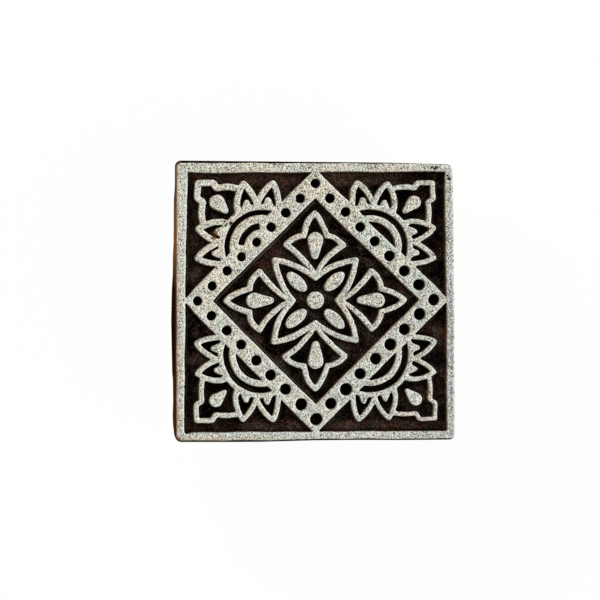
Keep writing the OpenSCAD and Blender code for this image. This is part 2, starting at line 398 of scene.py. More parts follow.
def square_ended(loop, reach, inset):
    """A curved cut with square ends, at this angle to both sides of its middle. Its outer arc is struck
    inside the drawn one by the inset, and its inner arc by half as much again."""
    out = loop.mean(0) / np.hypot(*loop.mean(0))
    along = np.array((-out[1], out[0]))
    far, aside = loop @ out, loop @ along
    tip = np.argmax(np.abs(aside))
    # The outer arc goes through the farthest point and both tips
    pivot = (far.max() ** 2 - far[tip] ** 2 - aside[tip] ** 2) / (2 * (far.max() - far[tip]))
    radii = far.max() - pivot - inset, np.hypot(far - pivot, aside).min() - 1.5 * inset
    turns = np.linspace(-reach, reach, ARC_POINTS)
    ring = [(pivot + r * np.cos(a), r * np.sin(a)) for r, way in zip(radii, (1, -1)) for a in turns[::way]]
    ring = np.array(ring) @ np.array((out, along))
    return ring if area(ring) < 0 else ring[::-1]


# Of the cuts on its diagonal, only the upper left crescent has a size between these, in square mm
BAND_AREA = (8, 9)


def is_band(loop):
    """The upper left crescent was cut as a band."""
    x, y = loop.mean(0)
    return abs(x + y) < FLAT and x < 0 and BAND_AREA[0] < -area(loop) < BAND_AREA[1]


# Where the narrower left border begins: place to the left as a share of half the width, share of the loss
LEFT_BORDER = ((0.87, 0.0), (0.92, 1.0))


def land_gain(points, half, sizes):
    """How much wider than drawn the lands are at each point: most in the upper left corner."""
    x, y = (points / half).T
    upper_left = np.maximum(0, (y - x) / 2) ** 2
    lower_right = np.maximum(0, (x - y) / 2)
    out = (x * x + y * y) / 2
    loss = mm(sizes.corner_loss) * out + mm(sizes.lower_loss) * lower_right
    loss += mm(sizes.left_loss) * profile_at(LEFT_BORDER, -x)
    return mm(sizes.corner_gain) * upper_left - loss


def bare_share(loop, half):
    """Share of the bare edge's width by the side of the block: most at the upper left, none on the right."""
    x, y = (loop / half).T
    facing_right, facing_up = outward(loop).T
    top = np.maximum(0, facing_up) * (0.95 - 0.55 * x - 0.25 * np.maximum(0, x))
    foot = np.maximum(0, -facing_up) * (0.95 - 0.15 * x)
    left = np.maximum(0, -facing_right) * (1.05 + 0.15 * y)
    return top + foot + left


def cut_outlines(sizes):
    """The hand-cut outlines: the block's edge as sawn, and all loops around the chalk."""
    rng = np.random.default_rng(sizes.seed)
    noise.seed_set(sizes.seed)
    loops = []
    for loop in sorted(top_outlines("ground_coat"), key=area, reverse=True):
        dot, band = is_dot(loop), is_band(loop)
        if band:
            loop = square_ended(loop, sizes.band_reach, mm(sizes.band_inset))
        loop = eased(even_steps(loop, mm(sizes.edge_step)), sizes.easing)
        if not loops:
            half = loop.max()
            sawn = sawn_out(loop, half, sizes)
            loop = sawn - mm(sizes.bare_edge) * bare_share(sawn, half)[:, None] * outward(sawn)
        elif dot:
            middle = loop.mean(0)
            lower_right = (middle[0] - middle[1]) / half
            scale = 1 + rng.uniform(-sizes.dot_spread, sizes.dot_spread) + sizes.dot_growth * lower_right
            aside = rng.uniform(-1, 1, 2) * mm(sizes.dot_scatter)
            loop = laid_out(middle + (loop - middle) * scale + aside, half, sizes)
        else:
            gain = 0.0 if band else land_gain(loop, half, sizes)[:, None]
            loop = laid_out(loop + gain * outward(loop), half, sizes)
        loop = wander(loop, mm(sizes.drift), mm(sizes.drift_wave))
        loops.append(wander(loop, mm(sizes.tremor), mm(sizes.tremor_wave)))
    return sawn, loops


# From this size in square mm a hole is the field inside the diamond
DIAMOND_FIELD = 500


def foot_share(loop):
    """How clearly a pale line shows at the foot of a wall: where it faces right, most inside the diamond."""
    facing_right, facing_up = outward(loop).T
    if area(loop) < -DIAMOND_FIELD:
        return np.where(facing_right > 0.3, 0.66 - 0.48 * facing_up, 0.0)
    return 0.2 * np.maximum(0, facing_right)


# Step in mm at which the carved edges are measured
FINE_STEP = 0.08
# The carved edge nearest to a point: how far the point lies inside (+) or outside (-) the lands in mm,
# whether the edge is a dot's, how squarely it faces left (1) or right (-1), how clear the line at its foot is
NearestEdge = namedtuple("NearestEdge", "inside in_dot faces_left foot")


class CarvedEdges:
    """Finds the carved edge that is nearest to a point."""

    def __init__(self, loops):
        fine = [even_steps(loop, FINE_STEP) for loop in loops]
        self.points = np.vstack(fine)
        self.normals = np.vstack([outward(loop) for loop in fine])
        self.dots = np.concatenate([np.full(len(loop), is_dot(loop)) for loop in fine])
        self.feet = np.concatenate([foot_share(loop) for loop in fine])
        self.tree = KDTree(len(self.points))
        for i, (x, y) in enumerate(self.points):
            self.tree.insert((x, y, 0), i)
        self.tree.balance()

    def nearest(self, x, y):
        """The carved edge nearest to this place in mm."""
        found, i, distance = self.tree.find((x, y, 0))
        normal = self.normals[i]
        side = (found.x - x) * normal[0] + (found.y - y) * normal[1]
        return NearestEdge(math.copysign(distance, side), self.dots[i], -normal[0], self.feet[i])


# How far apart a ring's points stay, as a share of the outline's steps, and how far off its line they may be
RING_GAP, RING_SLACK = 0.6, 0.15
# How far a scattered point may lie from its place in the grid, as a share of the grid's step
SCATTER = 0.3


def ring_points(loops, edges, offsets):
    """Points that follow the outlines at these distances inside (+) or outside (-) the lands."""
    kept = []
    for offset in offsets:
        taken = set()
        for loop in loops:
            gap = RING_GAP * perimeter(loop) / len(loop)
            for x, y in loop - offset * outward(loop):
                cell = (round(x / gap), round(y / gap))
                if cell not in taken and abs(edges.nearest(x, y).inside / offset - 1) < RING_SLACK:
                    taken.add(cell)
                    kept.append((x, y))
    return kept


def fill_points(outer, edges, step, nearest, farthest, rng):
    """Scattered points whose distance inside the lands is between these two."""
    low, high = outer.min(0), outer.max(0)
    kept = []
    for x in np.arange(low[0], high[0], step):
        for y in np.arange(low[1], high[1], step):
            px, py = np.array((x, y)) + rng.uniform(-SCATTER, SCATTER, 2) * step
            within = np.all((low + step < (px, py)) & ((px, py) < high - step))
            if within and nearest < edges.nearest(px, py).inside < farthest:
                kept.append((px, py))
    return kept


# Meshes

# What triangles cover, and the distance in mm below which points would be joined
ALL_INSIDE, LANDS_ONLY = 1, 2
SAME_POINT = 1e-7


def triangles_over(loops, extra, cover):
    """Triangles on the points of the loops and the extra points, over all or over the lands only."""
    points = np.vstack(loops + ([np.array(extra)] if len(extra) else []))
    rings = []
    start = 0
    for loop in loops:
        ring = list(range(start, start + len(loop)))
        rings.append(ring if area(loop) > 0 else ring[::-1])
        start += len(loop)
    _, _, faces, origins, _, _ = delaunay_2d_cdt([Vector(p) for p in points], [], rings, cover, SAME_POINT)
    if [o[0] for o in origins] != list(range(len(points))):
        raise RuntimeError("Carved outlines cross each other")
    return points, faces


def band_between(upper, lower):
    """Faces between two rings of vertices, for an outline that has the land on its left."""
    return [(low, low_next, up_next, up)
            for (up, up_next), (low, low_next) in zip(around(upper), around(lower))]


def piece(name, shape, material, node):
    """A mesh object that stands for a node. Its shape is vertices in mm, faces, and marks, which are values
    per vertex that the material reads."""
    verts, faces, marks = shape
    mesh = bpy.data.meshes.new(name)
    mesh.from_pydata([Vector(v) * MM for v in verts], [], faces)
    mesh.validate()
    mesh.shade_smooth()
    for mark, values in marks.items():
        mesh.attributes.new(mark, "FLOAT", "POINT").data.foreach_set("value", np.array(values, np.float32))
    mesh.materials.append(material)
    made = bpy.data.objects.new(name, mesh)
    bpy.context.scene.collection.objects.link(made)
    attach(made, BODY)
    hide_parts(node)


# Where an edge has splintered off: place on the face and reach in mm
CHIPS = ((-21.0, 14.2, 1.3), (-21.2, 13.3, 0.9), (23.9, -19.1, 0.5))
# Where the chalk is nicked through: place and reach in mm
NICKS = ((-18.8, 16.8, 0.35), (-18.7, 15.9, 0.4), (-17.4, 16.4, 0.5), (-17.7, 16.1, 0.35),
         (25.8, 28.1, 0.45), (25.3, 27.8, 0.4), (24.6, 28.0, 0.35), (28.3, 25.7, 0.4), (27.9, 26.4, 0.35),
         (-27.2, -17.8, 0.4))


def worn_at(spots, x, y):
    """How near a point is to the middle of a worn spot, from 0 at its rim to 1."""
    return max(0.0, *(1 - math.dist((x, y), spot) / reach for *spot, reach in spots))


# How a gouged wall and a drilled wall go down: distance from the edge in mm, share of the depth
GOUGED = ((0.0, 0.0), (0.05, 0.2), (0.15, 0.72), (0.35, 0.96), (0.6, 1.0))
DRILLED = ((0.0, 0.0), (0.05, 0.3), (0.12, 0.92), (0.3, 0.98), (0.6, 1.0))
# Distances in mm at which points follow a wall, from which they are scattered, and between them
WALL_RINGS = (-0.05, -0.15, -0.35, -0.55)
GROUND_FROM = 0.7
GROUND_STEP = 0.5
# Painted shade at the foot of the walls keeps the ground black there: distance from a wall in mm, share
# of the ground's worn red-brown that shows
UNSHADED_FROM_WALL = ((0.1, 0.35), (1.1, 1.0))
# Reach and step of the grid of points on the back, in mm
BACK_REACH, BACK_STEP = 27, 3.0
BLOCK_MARKS = ("recess", "dust_and_light", "open", "away", "foot", "chip")


def wall_dust_and_light(share, faces_left):
    """How much chalk dust and painted light a wall gets at a share of its depth: most high up and where
    it faces left, towards the key lamp.
    """
    left = max(0.0, faces_left)
    fade = max(0.0, 1 - share * (1.6 - 0.6 * left)) ** (1 + 0.6 * left)
    return fade * float(np.interp(faces_left, (-1, 0), (0.35, 1)))


def carved_block_mesh(sizes):
    """The block: lands under the chalk, walls, tool-marked ground, dots, sawn sides and back."""
    rng = np.random.default_rng(sizes.seed)
    sawn, loops = cut_outlines(sizes)
    edges = CarvedEdges(loops)
    land_z, ground_z, dot_z = flat_levels("carved_block")[:3]
    back_z = mm(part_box("carved_block")[0].z)

    extra = ring_points(loops, edges, WALL_RINGS)
    extra += fill_points(sawn, edges, GROUND_STEP, -math.inf, -GROUND_FROM, rng)
    points, faces = triangles_over(loops, extra, ALL_INSIDE)
    edge_count = sum(map(len, loops))
    verts = [(x, y, land_z) for x, y in points[:edge_count]]
    # Tops of the walls get chalk dust and painted light, most where they face left, and so do the tops of the
    # sawn sides on the left and lower left
    dust_and_light = [wall_dust_and_light(0.0, edges.nearest(x, y).faces_left) for x, y in points[:edge_count]]
    facing_right, facing_up = outward(loops[0]).T
    lower_left = np.maximum(0, -facing_up) * np.maximum(0, -loops[0][:, 0] / loops[0].max())
    dust_and_light[:len(loops[0])] = np.maximum(0, -facing_right) + 0.5 * lower_left
    rows = [(1.0, share, 0.0, 0.0, 0.0) for share in dust_and_light]
    for x, y in points[edge_count:]:
        edge = edges.nearest(x, y)
        share = profile_at(DRILLED if edge.in_dot else GOUGED, -edge.inside)
        gouged = swell(x, y, mm(sizes.ground_wave)) + 0.4 * swell(x, y, mm(sizes.ground_wave) / 3)
        floor_z = dot_z if edge.in_dot else ground_z + mm(sizes.ground_swell) * gouged
        verts.append((x, y, land_z + share * (floor_z - land_z)))
        # Share of the ground's worn red-brown that shows: held back next to the walls by painted shade
        out_of_wall_shade = profile_at(UNSHADED_FROM_WALL, -edge.inside)
        # The wall's mark of chalk dust and painted light: most high up and where the wall faces left
        rows.append((1.0, wall_dust_and_light(share, edge.faces_left), out_of_wall_shade, -edge.inside, edge.foot))

    outer = list(range(len(loops[0])))
    for ring in side_rings(sizes, sawn, land_z, back_z):
        lower = list(range(len(verts), len(verts) + len(ring)))
        faces += band_between(outer, lower)
        verts += ring
        outer = lower
    last = np.array(verts[-len(outer):])[:, :2]
    across = np.arange(-BACK_REACH, BACK_REACH + 1, BACK_STEP)
    back_points, back_faces = triangles_over([last], [(x, y) for x in across for y in across], ALL_INSIDE)
    start = len(verts)
    verts += [(x, y, back_z) for x, y in back_points[len(outer):]]
    place = outer + list(range(start, len(verts)))
    faces += [tuple(place[i] for i in reversed(face)) for face in back_faces]
    rows += [(0.0,) * len(rows[0])] * (len(verts) - len(rows))
    rows = [(*row, worn_at(CHIPS, x, y)) for row, (x, y, _) in zip(rows, verts)]
    return verts, faces, dict(zip(BLOCK_MARKS, zip(*rows)))


# Rows down the side: share of the way down, set-back from the sawn face in mm
SIDE_ROWS = (
    (0.004, 0.03), *((share, 0.0) for share in (0.016, 0.05, 0.12, 0.2, 0.3, 0.4, 0.5, 0.6, 0.7, 0.8, 0.9)),
    (0.965, 0.02), (0.99, 0.15), (1.0, 0.45))
# How far the back edge of the left side was sawn outwards: place along the side, distance, in mm
LEFT_FLARE = (
    (-29, -0.4), (-26, -0.05), (-24, 0), (-21, -0.1), (-16.5, -0.05), (-15, 0.1), (-4, 0.3), (2.5, 0.15),
    (6, -0.05), (10, -0.1), (13, -0.3), (22, -0.35), (25, -0.6), (29, -0.9))
# Lengths in mm of the broad and the narrow unevenness of the sides
BROAD_WAVE, NARROW_WAVE = 9.0, 3.0


def side_rings(sizes, sawn, top_z, back_z):
    """Rows of points down the sawn sides, which are a little uneven, and bowed on the left."""
    normals = outward(sawn)
    flare = profile_at(LEFT_FLARE, sawn[:, 1]) * np.maximum(0, -normals[:, 0])
    for share, set_back in SIDE_ROWS:
        z = top_z + share * (back_z - top_z)
        ring = []
        for (x, y), (nx, ny), lean in zip(sawn, normals, flare):
            uneven = swell(x + y, z, BROAD_WAVE) + 0.5 * swell(x - y, z, NARROW_WAVE)
            out = mm(sizes.side_swell) * uneven * math.sin(math.pi * share) + lean * share - set_back
            ring.append((x + out * nx, y + out * ny, z))
        yield ring


# How the worn edge of a land falls away: distance from the edge, drop in mm
WORN_EDGE = ((0.0, 0.11), (0.07, 0.035), (0.2, 0.008), (0.45, 0.0))
# Distances in mm at which points follow a land's edge, from which they are scattered, and between them
LAND_RINGS = (0.07, 0.2)
LAND_FROM = 0.36
LAND_STEP = 0.45
# Height and length in mm of the unevenness of the brushed chalk, and width of its rims
LAND_SWELL, LAND_WAVE = 0.012, 1.1
RIM_WIDTH = 0.31
# A nick gets a point of its own where its middle lies in the land by this share of its reach
NICK_ROOM = 0.3
CHALK_MARKS = ("rim", "left", "wear", "warmth", "scuff", "chip", "nick")


def chalk_ground_mesh(sizes):
    """The thin patches of chalk on the lands, with rounded edges."""
    rng = np.random.default_rng(sizes.seed)
    sawn, loops = cut_outlines(sizes)
    edges = CarvedEdges(loops)
    low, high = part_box("ground_coat")
    top_z, under_z = mm(high.z), mm(low.z)

    extra = ring_points(loops, edges, LAND_RINGS)
    extra += fill_points(sawn, edges, LAND_STEP, LAND_FROM, math.inf, rng)
    extra += [(x, y) for x, y, reach in NICKS if edges.nearest(x, y).inside > NICK_ROOM * reach]
    points, faces = triangles_over(loops, extra, LANDS_ONLY)
    edge_count = sum(map(len, loops))
    half = sawn.max(0)
    verts = []
    rows = []
    for i, (x, y) in enumerate(points):
        edge = edges.nearest(x, y)
        inside = 0.0 if i < edge_count else edge.inside
        drop = profile_at(WORN_EDGE, inside)
        verts.append((x, y, top_z - drop + LAND_SWELL * swell(x, y, LAND_WAVE)))
        rim = max(0.0, 1 - inside / RIM_WIDTH)
        border = [worn(x, y, half) for worn in (edge_wear, border_warmth, border_scuff)]
        rows.append((rim, edge.faces_left, *border, worn_at(CHIPS, x, y), worn_at(NICKS, x, y)))
    under = len(verts)
    verts += [(x, y, under_z) for x, y in points[:edge_count]]
    rows += rows[:edge_count]
    _, under_faces = triangles_over(loops, [], LANDS_ONLY)
    faces += [tuple(under + i for i in reversed(face)) for face in under_faces]
    start = 0
    for loop in loops:
        upper = list(range(start, start + len(loop)))
        faces += band_between(upper, [under + i for i in upper])
        start += len(loop)
    return verts, faces, dict(zip(CHALK_MARKS, zip(*rows)))


# How far in from the left and the lower edge the chalk is rubbed, in mm
LEFT_RUB, FOOT_RUB = 1.2, 1.1
# Width in mm of the left, right and lower border
LEFT_WIDTH, RIGHT_WIDTH, FOOT_WIDTH = 2.6, 2.4, 2.4
# How warm (1) or cold (-1) each of them looks: distance from the edge in mm, warmth
LEFT_WARMTH = ((0.4, 1.0), (2.3, -0.8))
RIGHT_WARMTH = ((0.0, -0.8), (1.2, -0.5), (2.0, 0.4))
FOOT_WARMTH = ((0.3, 1.0), (2.0, -0.8))
# How that fades along the lower border: place across as a share of half the width, share
FOOT_FADE = ((-1, 1.0), (0, 0.4), (1, 0.1))
# The soiled line in the right border: place up as a share of half the height, distance from the edge in mm
# or strength
SCUFF_LINE = ((-1, 0.5), (0, 0.6), (1, 1.0))
SCUFF_STRENGTH = ((-1, 1.6), (0, 1.6), (0.1, 0.6), (0.7, 0.8), (1, 2.2))
# Distance of the soiled line from the lower and from the left edge, in mm
FOOT_SCUFF, LEFT_SCUFF = 0.95, 1.2


def edge_wear(x, y, half):
    """How far use has rubbed the chalk off near the outer edges, most on the left and the lower left."""
    left = max(0.0, 1 - (x + half[0]) / LEFT_RUB)
    foot = max(0.0, 1 - (y + half[1]) / FOOT_RUB) * np.interp(x, (-half[0], half[0]), (1.0, 0.3))
    return max(left, foot)


def border_warmth(x, y, half):
    """How much warmer (to 1) or colder (to -1) than elsewhere the chalk of the border looks."""
    left, right, foot = x + half[0], half[0] - x, y + half[1]
    warmth = profile_at(LEFT_WARMTH, left) if left < LEFT_WIDTH else 0.0
    warmth += profile_at(RIGHT_WARMTH, right) if right < RIGHT_WIDTH else 0.0
    if foot < FOOT_WIDTH:
        warmth += profile_at(FOOT_WARMTH, foot) * profile_at(FOOT_FADE, x / half[0])
    return min(max(warmth, -1.0), 1.0)


def nearness(distance, reach):
    """1 on a line, and 0 from this reach to both sides of it."""
    return max(0.0, 1 - abs(distance) / reach)


def border_scuff(x, y, half):
    """How far knocks have soiled the middle of the right border and, less so, of the left and lower one."""
    up = y / half[1]
    right = nearness(half[0] - x - profile_at(SCUFF_LINE, up), 0.45) * profile_at(SCUFF_STRENGTH, up)
    foot = nearness(half[1] + y - FOOT_SCUFF, 0.5) * np.interp(x, (-half[0], 0), (1.0, 0.2))
    left = nearness(half[0] + x - LEFT_SCUFF, 0.5) * np.interp(y, (-half[1], half[1]), (1.0, 0.0))
    return 0.25 * right + 0.15 * foot + 0.15 * left


# Length and width in mm of the knife's marks on the shaved handle
SHAVED_LENGTH, SHAVED_WIDTH = 11, 5


def handle_mesh(sizes):
    """The handle with edges rounded by use and shaved, uneven sides."""
    source = bmesh.new()
    source.from_mesh(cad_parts["handle"].data)
    bmesh.ops.remove_doubles(source, verts=source.verts, dist=FLAT * MM)
    rough = bpy.data.meshes.new("handle_rough")
    source.to_mesh(rough)
    source.free()
    shaped = bpy.data.objects.new("handle_rough", rough)
    bpy.context.scene.collection.objects.link(shaped)
    remesh = shaped.modifiers.new("even squares", "REMESH")
    remesh.mode = "VOXEL"
    remesh.voxel_size = sizes.mesh_step
    soften = shaped.modifiers.new("rounding", "SMOOTH")
    soften.factor = 0.5
    soften.iterations = sizes.rounding
    made = shaped.evaluated_get(bpy.context.evaluated_depsgraph_get()).to_mesh()
    low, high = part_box("handle")
    height = mm(high.z - low.z)
    verts = []
    for v in made.vertices:
        x, y, z = v.co / MM
        nx, ny, nz = v.normal
        shaved = noise.noise((x / SHAVED_LENGTH, y / SHAVED_WIDTH, z / SHAVED_WIDTH)) - 0.5
        out = mm(sizes.swell) * shaved * math.sin(math.pi * z / height) ** 2
        verts.append((x + out * nx, y + out * ny, z + out * nz))
    faces = [tuple(face.vertices) for face in made.polygons]
    bpy.data.objects.remove(shaped)
    return verts, faces, {}


NAIL_SIDES = 40
# Bevel of a nail's edges, and how far its head rises towards the rim and at the bevel, in mm
NAIL_BEVEL = 0.25
HEAD_RISE, RIM_RISE = 0.05, 0.08
# Width of the hammer's marks, and how far apart the two heads are in their pattern, in mm
DENT_WAVE, DENT_SHIFT = 1.6, 7


def nails_mesh(sizes):
    """Two wire nails, head down, with hammered heads."""
    spots = np.array([v.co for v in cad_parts["handle_nails"].data.vertices]) / MM
    low, high = spots.min(0), spots.max(0)
    foot_z, tip_z = low[2], high[2]
    head_r = (high[1] - low[1]) / 2
    place_x = high[0] - head_r
    right = spots[spots[:, 0] > 0] - (place_x, 0, 0)
    reach = np.hypot(right[:, 0], right[:, 1])
    head_top = right[reach > head_r - FLAT][:, 2].max()
    thin = right[(reach < head_r / 2 + FLAT) & (reach > FLAT)]
    shank_r = float(np.hypot(thin[:, 0], thin[:, 1]).max())
    shoulder = right[(reach > shank_r - FLAT) & (reach < shank_r + FLAT)][:, 2].max()
    profile = [(head_r * k, foot_z + HEAD_RISE * k) for k in (0.25, 0.5, 0.75)]
    profile += [
        (head_r - NAIL_BEVEL, foot_z + RIM_RISE), (head_r - NAIL_BEVEL / 4, foot_z + NAIL_BEVEL),
        (head_r, foot_z + 2 * NAIL_BEVEL), (head_r, head_top - NAIL_BEVEL), (head_r - NAIL_BEVEL, head_top),
        (shank_r + NAIL_BEVEL, head_top), (shank_r, head_top + NAIL_BEVEL), (shank_r, shoulder)]
    verts = []
    faces = []
    for side in (-1, 1):
        first = len(verts)
        verts.append((side * place_x, 0, foot_z))
        rings = []
        for r, z in profile:
            struck = mm(sizes.dent) if z < head_top - NAIL_BEVEL else 0.0
            rings.append(list(range(len(verts), len(verts) + NAIL_SIDES)))
            for k in range(NAIL_SIDES):
                a = k / NAIL_SIDES * FULL_TURN
                x, y = r * math.cos(a), r * math.sin(a)
                dent = struck * max(0.0, swell(x + DENT_SHIFT * side, y, DENT_WAVE))
                verts.append((side * place_x + x, y, z + dent))
        tip = len(verts)
        verts.append((side * place_x, 0, tip_z))
        faces += [(first, after, before) for before, after in around(rings[0])]
        for lower, upper in zip(rings, rings[1:]):
            faces += band_between(upper, lower)
        faces += [(before, after, tip) for before, after in around(rings[-1])]
    return verts, faces, {}


# Materials

# Sockets of a colour mix: its share, its two colours and the colour that it gives
FACTOR, FIRST, SECOND, MIXED = 0, 6, 7, 2


def add_node(tree, kind, inputs=(), **settings):
    """Adds a node and gives its outputs. Settings are its own values; inputs, by name or in the node's
    order, are constants or the sockets linked to it."""
    made = tree.nodes.new("ShaderNode" + kind)
    for name, value in settings.items():
        setattr(made, name, value)
    for socket, value in inputs.items() if isinstance(inputs, dict) else enumerate(inputs):
        if isinstance(value, bpy.types.NodeSocket):
            tree.links.new(value, made.inputs[socket])
        else:
            made.inputs[socket].default_value = value
    return made.outputs


def new_material(name):
    """An empty material and the way to add nodes to it."""
    material = bpy.data.materials.new(name)
    material.use_nodes = True
    material.node_tree.nodes.clear()
    return material, partial(add_node, material.node_tree)


def combined(add, operation, *spans):
    """Several values, each brought into a range, taken together by one operation. A span is a value, the two
    values that it starts and stops at and, if they aren't 0 and 1, what it gives at these."""
    whole, *others = [add("MapRange", span)[0] for span in spans]
    for other in others:
        whole = add("Math", (whole, other), operation=operation)[0]
    return whole


def layered(add, colour, *layers):
    """A colour with others laid over it in turn. A layer is its colour and the span, as in combined, of the
    value that gives its share."""
    for over, *span in layers:
        share = add("MapRange", span)[0]
        colour = add("Mix", {FACTOR: share, FIRST: colour, SECOND: over}, data_type="RGBA")[MIXED]
    return colour


def give_surface(add, colour, height, strength, depth, shine):
    """Ends a material: its colour, the height, strength and depth of its bumps, and how it shines."""
    bumps = add("Bump", {"Height": height, "Strength": strength, "Distance": depth})["Normal"]
    surface = add("BsdfPrincipled", {"Base Color": colour, "Normal": bumps, **shine})
    add("OutputMaterial", {"Surface": surface[0]})


def chalk_ground_material(looks):
    """Chalk ground: white chalk bound with gum, brushed on and rubbed smooth. It is matt and grainy
    to the eye, with short upright pores, a painted highlight on its right-hand rims, painted shade on its
    edges, most on the left-hand ones, and wood showing where edges are rubbed."""
    material, add = new_material("chalk_ground")
    place = add("TexCoord")["Object"]
    spot = add("SeparateXYZ", (place,))
    rim, left, wear, warmth, scuff, chip, nick = [
        add("Attribute", attribute_name=name)["Fac"] for name in CHALK_MARKS]

    # The grains are drawn coarser than real ones, which would be lost between the picture's dots
    upright = add("Mapping", {"Vector": place, "Scale": (1.0, 0.62, 1.0)})["Vector"]
    grains = add("TexVoronoi", {"Vector": upright, "Scale": 1 / looks.speckle})["Color"]
    grain = add("SeparateColor", (grains,))
    cloud = add("TexNoise", {
        "Vector": upright, "Scale": 1 / (4 * looks.speckle), "Detail": 3.0, "Roughness": 0.7})["Fac"]
    stains = add("TexNoise", {"Vector": place, "Scale": 1 / looks.stain, "Detail": 2.0})["Color"]
    stain = add("SeparateColor", (stains,))
    patches = add("TexNoise", {"Vector": place, "Scale": 1 / looks.patch, "Detail": 2.0})["Color"]
    patch = add("SeparateColor", (patches,))

    lower_right = add("Math", (spot["X"], spot["Y"]), operation="SUBTRACT")[0]
    hue = combined(
        add, "ADD", (lower_right, -40 * MM, 40 * MM), (stain["Red"], 0.3, 0.7, -0.5, 0.5),
        (patch["Green"], 0.35, 0.65, -0.45, 0.45))
    clean = layered(
        add, looks.pale, (looks.cool, hue, 0, 1), (looks.moss, stain["Green"], 0.45, 0.75, 0, 0.5),
        (looks.moss, patch["Blue"], 0.48, 0.65, 0, 0.5), (looks.straw, patch["Blue"], 0.48, 0.35, 0, 0.45),
        (looks.warm, warmth, 0, 1, 0, 0.6), (looks.cold, warmth, 0, -1, 0, 0.8))
    soiled = layered(add, looks.dull, (looks.dull_cool, hue, 0, 1))
    tone = combined(
        add, "ADD", (grain["Red"], 0.28, 0.66, 0, 0.95), (cloud, 0.25, 0.75, 0, 0.03),
        (patch["Red"], 0.3, 0.7, -0.05, 0.05), (scuff, 0, 1, 0, -0.6))

    # Painted highlight along the rims of right-hand edges
    lit = combined(add, "MULTIPLY", (rim, 0, 1), (left, 0.2, -0.9))
    pores = chalk_pores(add, looks, place, spot, scuff)
    bare = combined(add, "MAXIMUM", (grain["Blue"], 0.03, 0.04, 0.95, 0), (pores, 0, 1), (nick, 0.1, 0.5))
    # Painted shade along all edges, most on left-hand ones
    rounded = combined(add, "MULTIPLY", (rim, 0, 1), (rim, 0, 1), (left, -0.5, 0.9, 0.05, 0.75))
    uneven = add("MapRange", (cloud, 0.25, 0.75, -0.2, 0.2))[0]
    ragged = add("Math", (wear, uneven), operation="ADD")[0]
    ragged = add("MapRange", (ragged, 0.2, 1.05))[0]
    rubbed = add("Math", (ragged, 1.7), operation="POWER")[0]
    chipped = add("Math", (chip, cloud), operation="ADD")[0]
    colour = layered(
        add, soiled, (clean, tone, 0, 1), (looks.rim, lit, 0, 1), (looks.pit, bare, 0, 1),
        (looks.rounded, rounded, 0, 1), (looks.worn, rubbed, 0, 1), (looks.chip, chipped, 0.9, 1.05))
    shine = {"Roughness": 0.92, "IOR": 1.5, "Specular IOR Level": 0.1}
    give_surface(add, colour, tone, 0.3, 0.1 * MM, shine)
    return material


def chalk_pores(add, looks, place, spot, scuff):
    """Where the chalk is open to the wood: a few round pits and many short upright dashes."""
    pits = add("TexVoronoi", {"Vector": place, "Scale": 1 / looks.pit_gap})
    picked = add("SeparateColor", (pits["Color"],))["Red"]
    pit = combined(add, "MULTIPLY", (pits["Distance"], 0.1, 0.2, 1, 0), (picked, 0.15, 0.19, 1, 0))
    tall = add("Mapping", {"Vector": place, "Scale": (1.0, 0.6, 1.0)})["Vector"]
    dashes = add("TexVoronoi", {"Vector": tall, "Scale": 1 / looks.dash})
    picked = add("SeparateColor", (dashes["Color"],))["Red"]
    # More dashes to the upper right and in the flower than in the lower left
    upper_right = add("Math", (spot["X"], spot["Y"]), operation="ADD")[0]
    many = combined(add, "ADD", (upper_right, -20 * MM, 12 * MM, 0.035, 0.17), (scuff, 0, 1, 0, 0.6))
    picked = add("Math", (picked, many), operation="LESS_THAN")[0]
    dash = combined(add, "MULTIPLY", (dashes["Distance"], 0.38, 0.46, 1, 0), (picked, 0, 1))
    return add("Math", (pit, dash), operation="MAXIMUM")[0]


def wood_grain(add, place, pith, ring, pore):
    """Lightness of the grain and darkness of the pores in wood cut along X out of a log whose middle lies
    this far in front of and below the origin: rings and dots on the ends, streaks and dashes on the sides."""
    log = add("Mapping", {"Vector": place, "Location": (0.0, *pith), "Scale": (0.04, 1.0, 1.0)})["Vector"]
    # A ring of the wave texture is 0.314 wide at a scale of 1
    rings = add("TexWave", {
        "Vector": log, "Scale": 0.314 / ring, "Distortion": 6.0, "Detail": 2.0, "Detail Scale": 0.8},
        wave_type="RINGS", rings_direction="X")["Fac"]
    streaks = add("TexNoise", {"Vector": log, "Scale": 1 / pore, "Detail": 3.0, "Roughness": 0.65})["Fac"]
    cells = add("TexVoronoi", {"Vector": log, "Scale": 1 / pore})
    picked = add("SeparateColor", (cells["Color"],))["Red"]
    pores = combined(add, "MULTIPLY", (cells["Distance"], 0.12, 0.25, 1, 0), (picked, 0.5, 0.6, 1, 0))
    light = combined(add, "ADD", (rings, 0, 1, 0, 0.22), (streaks, 0.25, 0.75, 0, 0.78))
    return light, pores


# How far in front of and below the origin the log's middle lies for the block and the handle, in metres
BLOCK_PITH, HANDLE_PITH = (21 * MM, 4 * MM), (6 * MM, 12 * MM)
# Middle of the rubbed place at the diamond's upper left, in metres
RUBBED_PLACE = (-11 * MM, 11 * MM, 39 * MM)
# From where to where across the block its left side gives way to the others, in metres
LEFT_SIDE = (-28.8 * MM, -28 * MM)


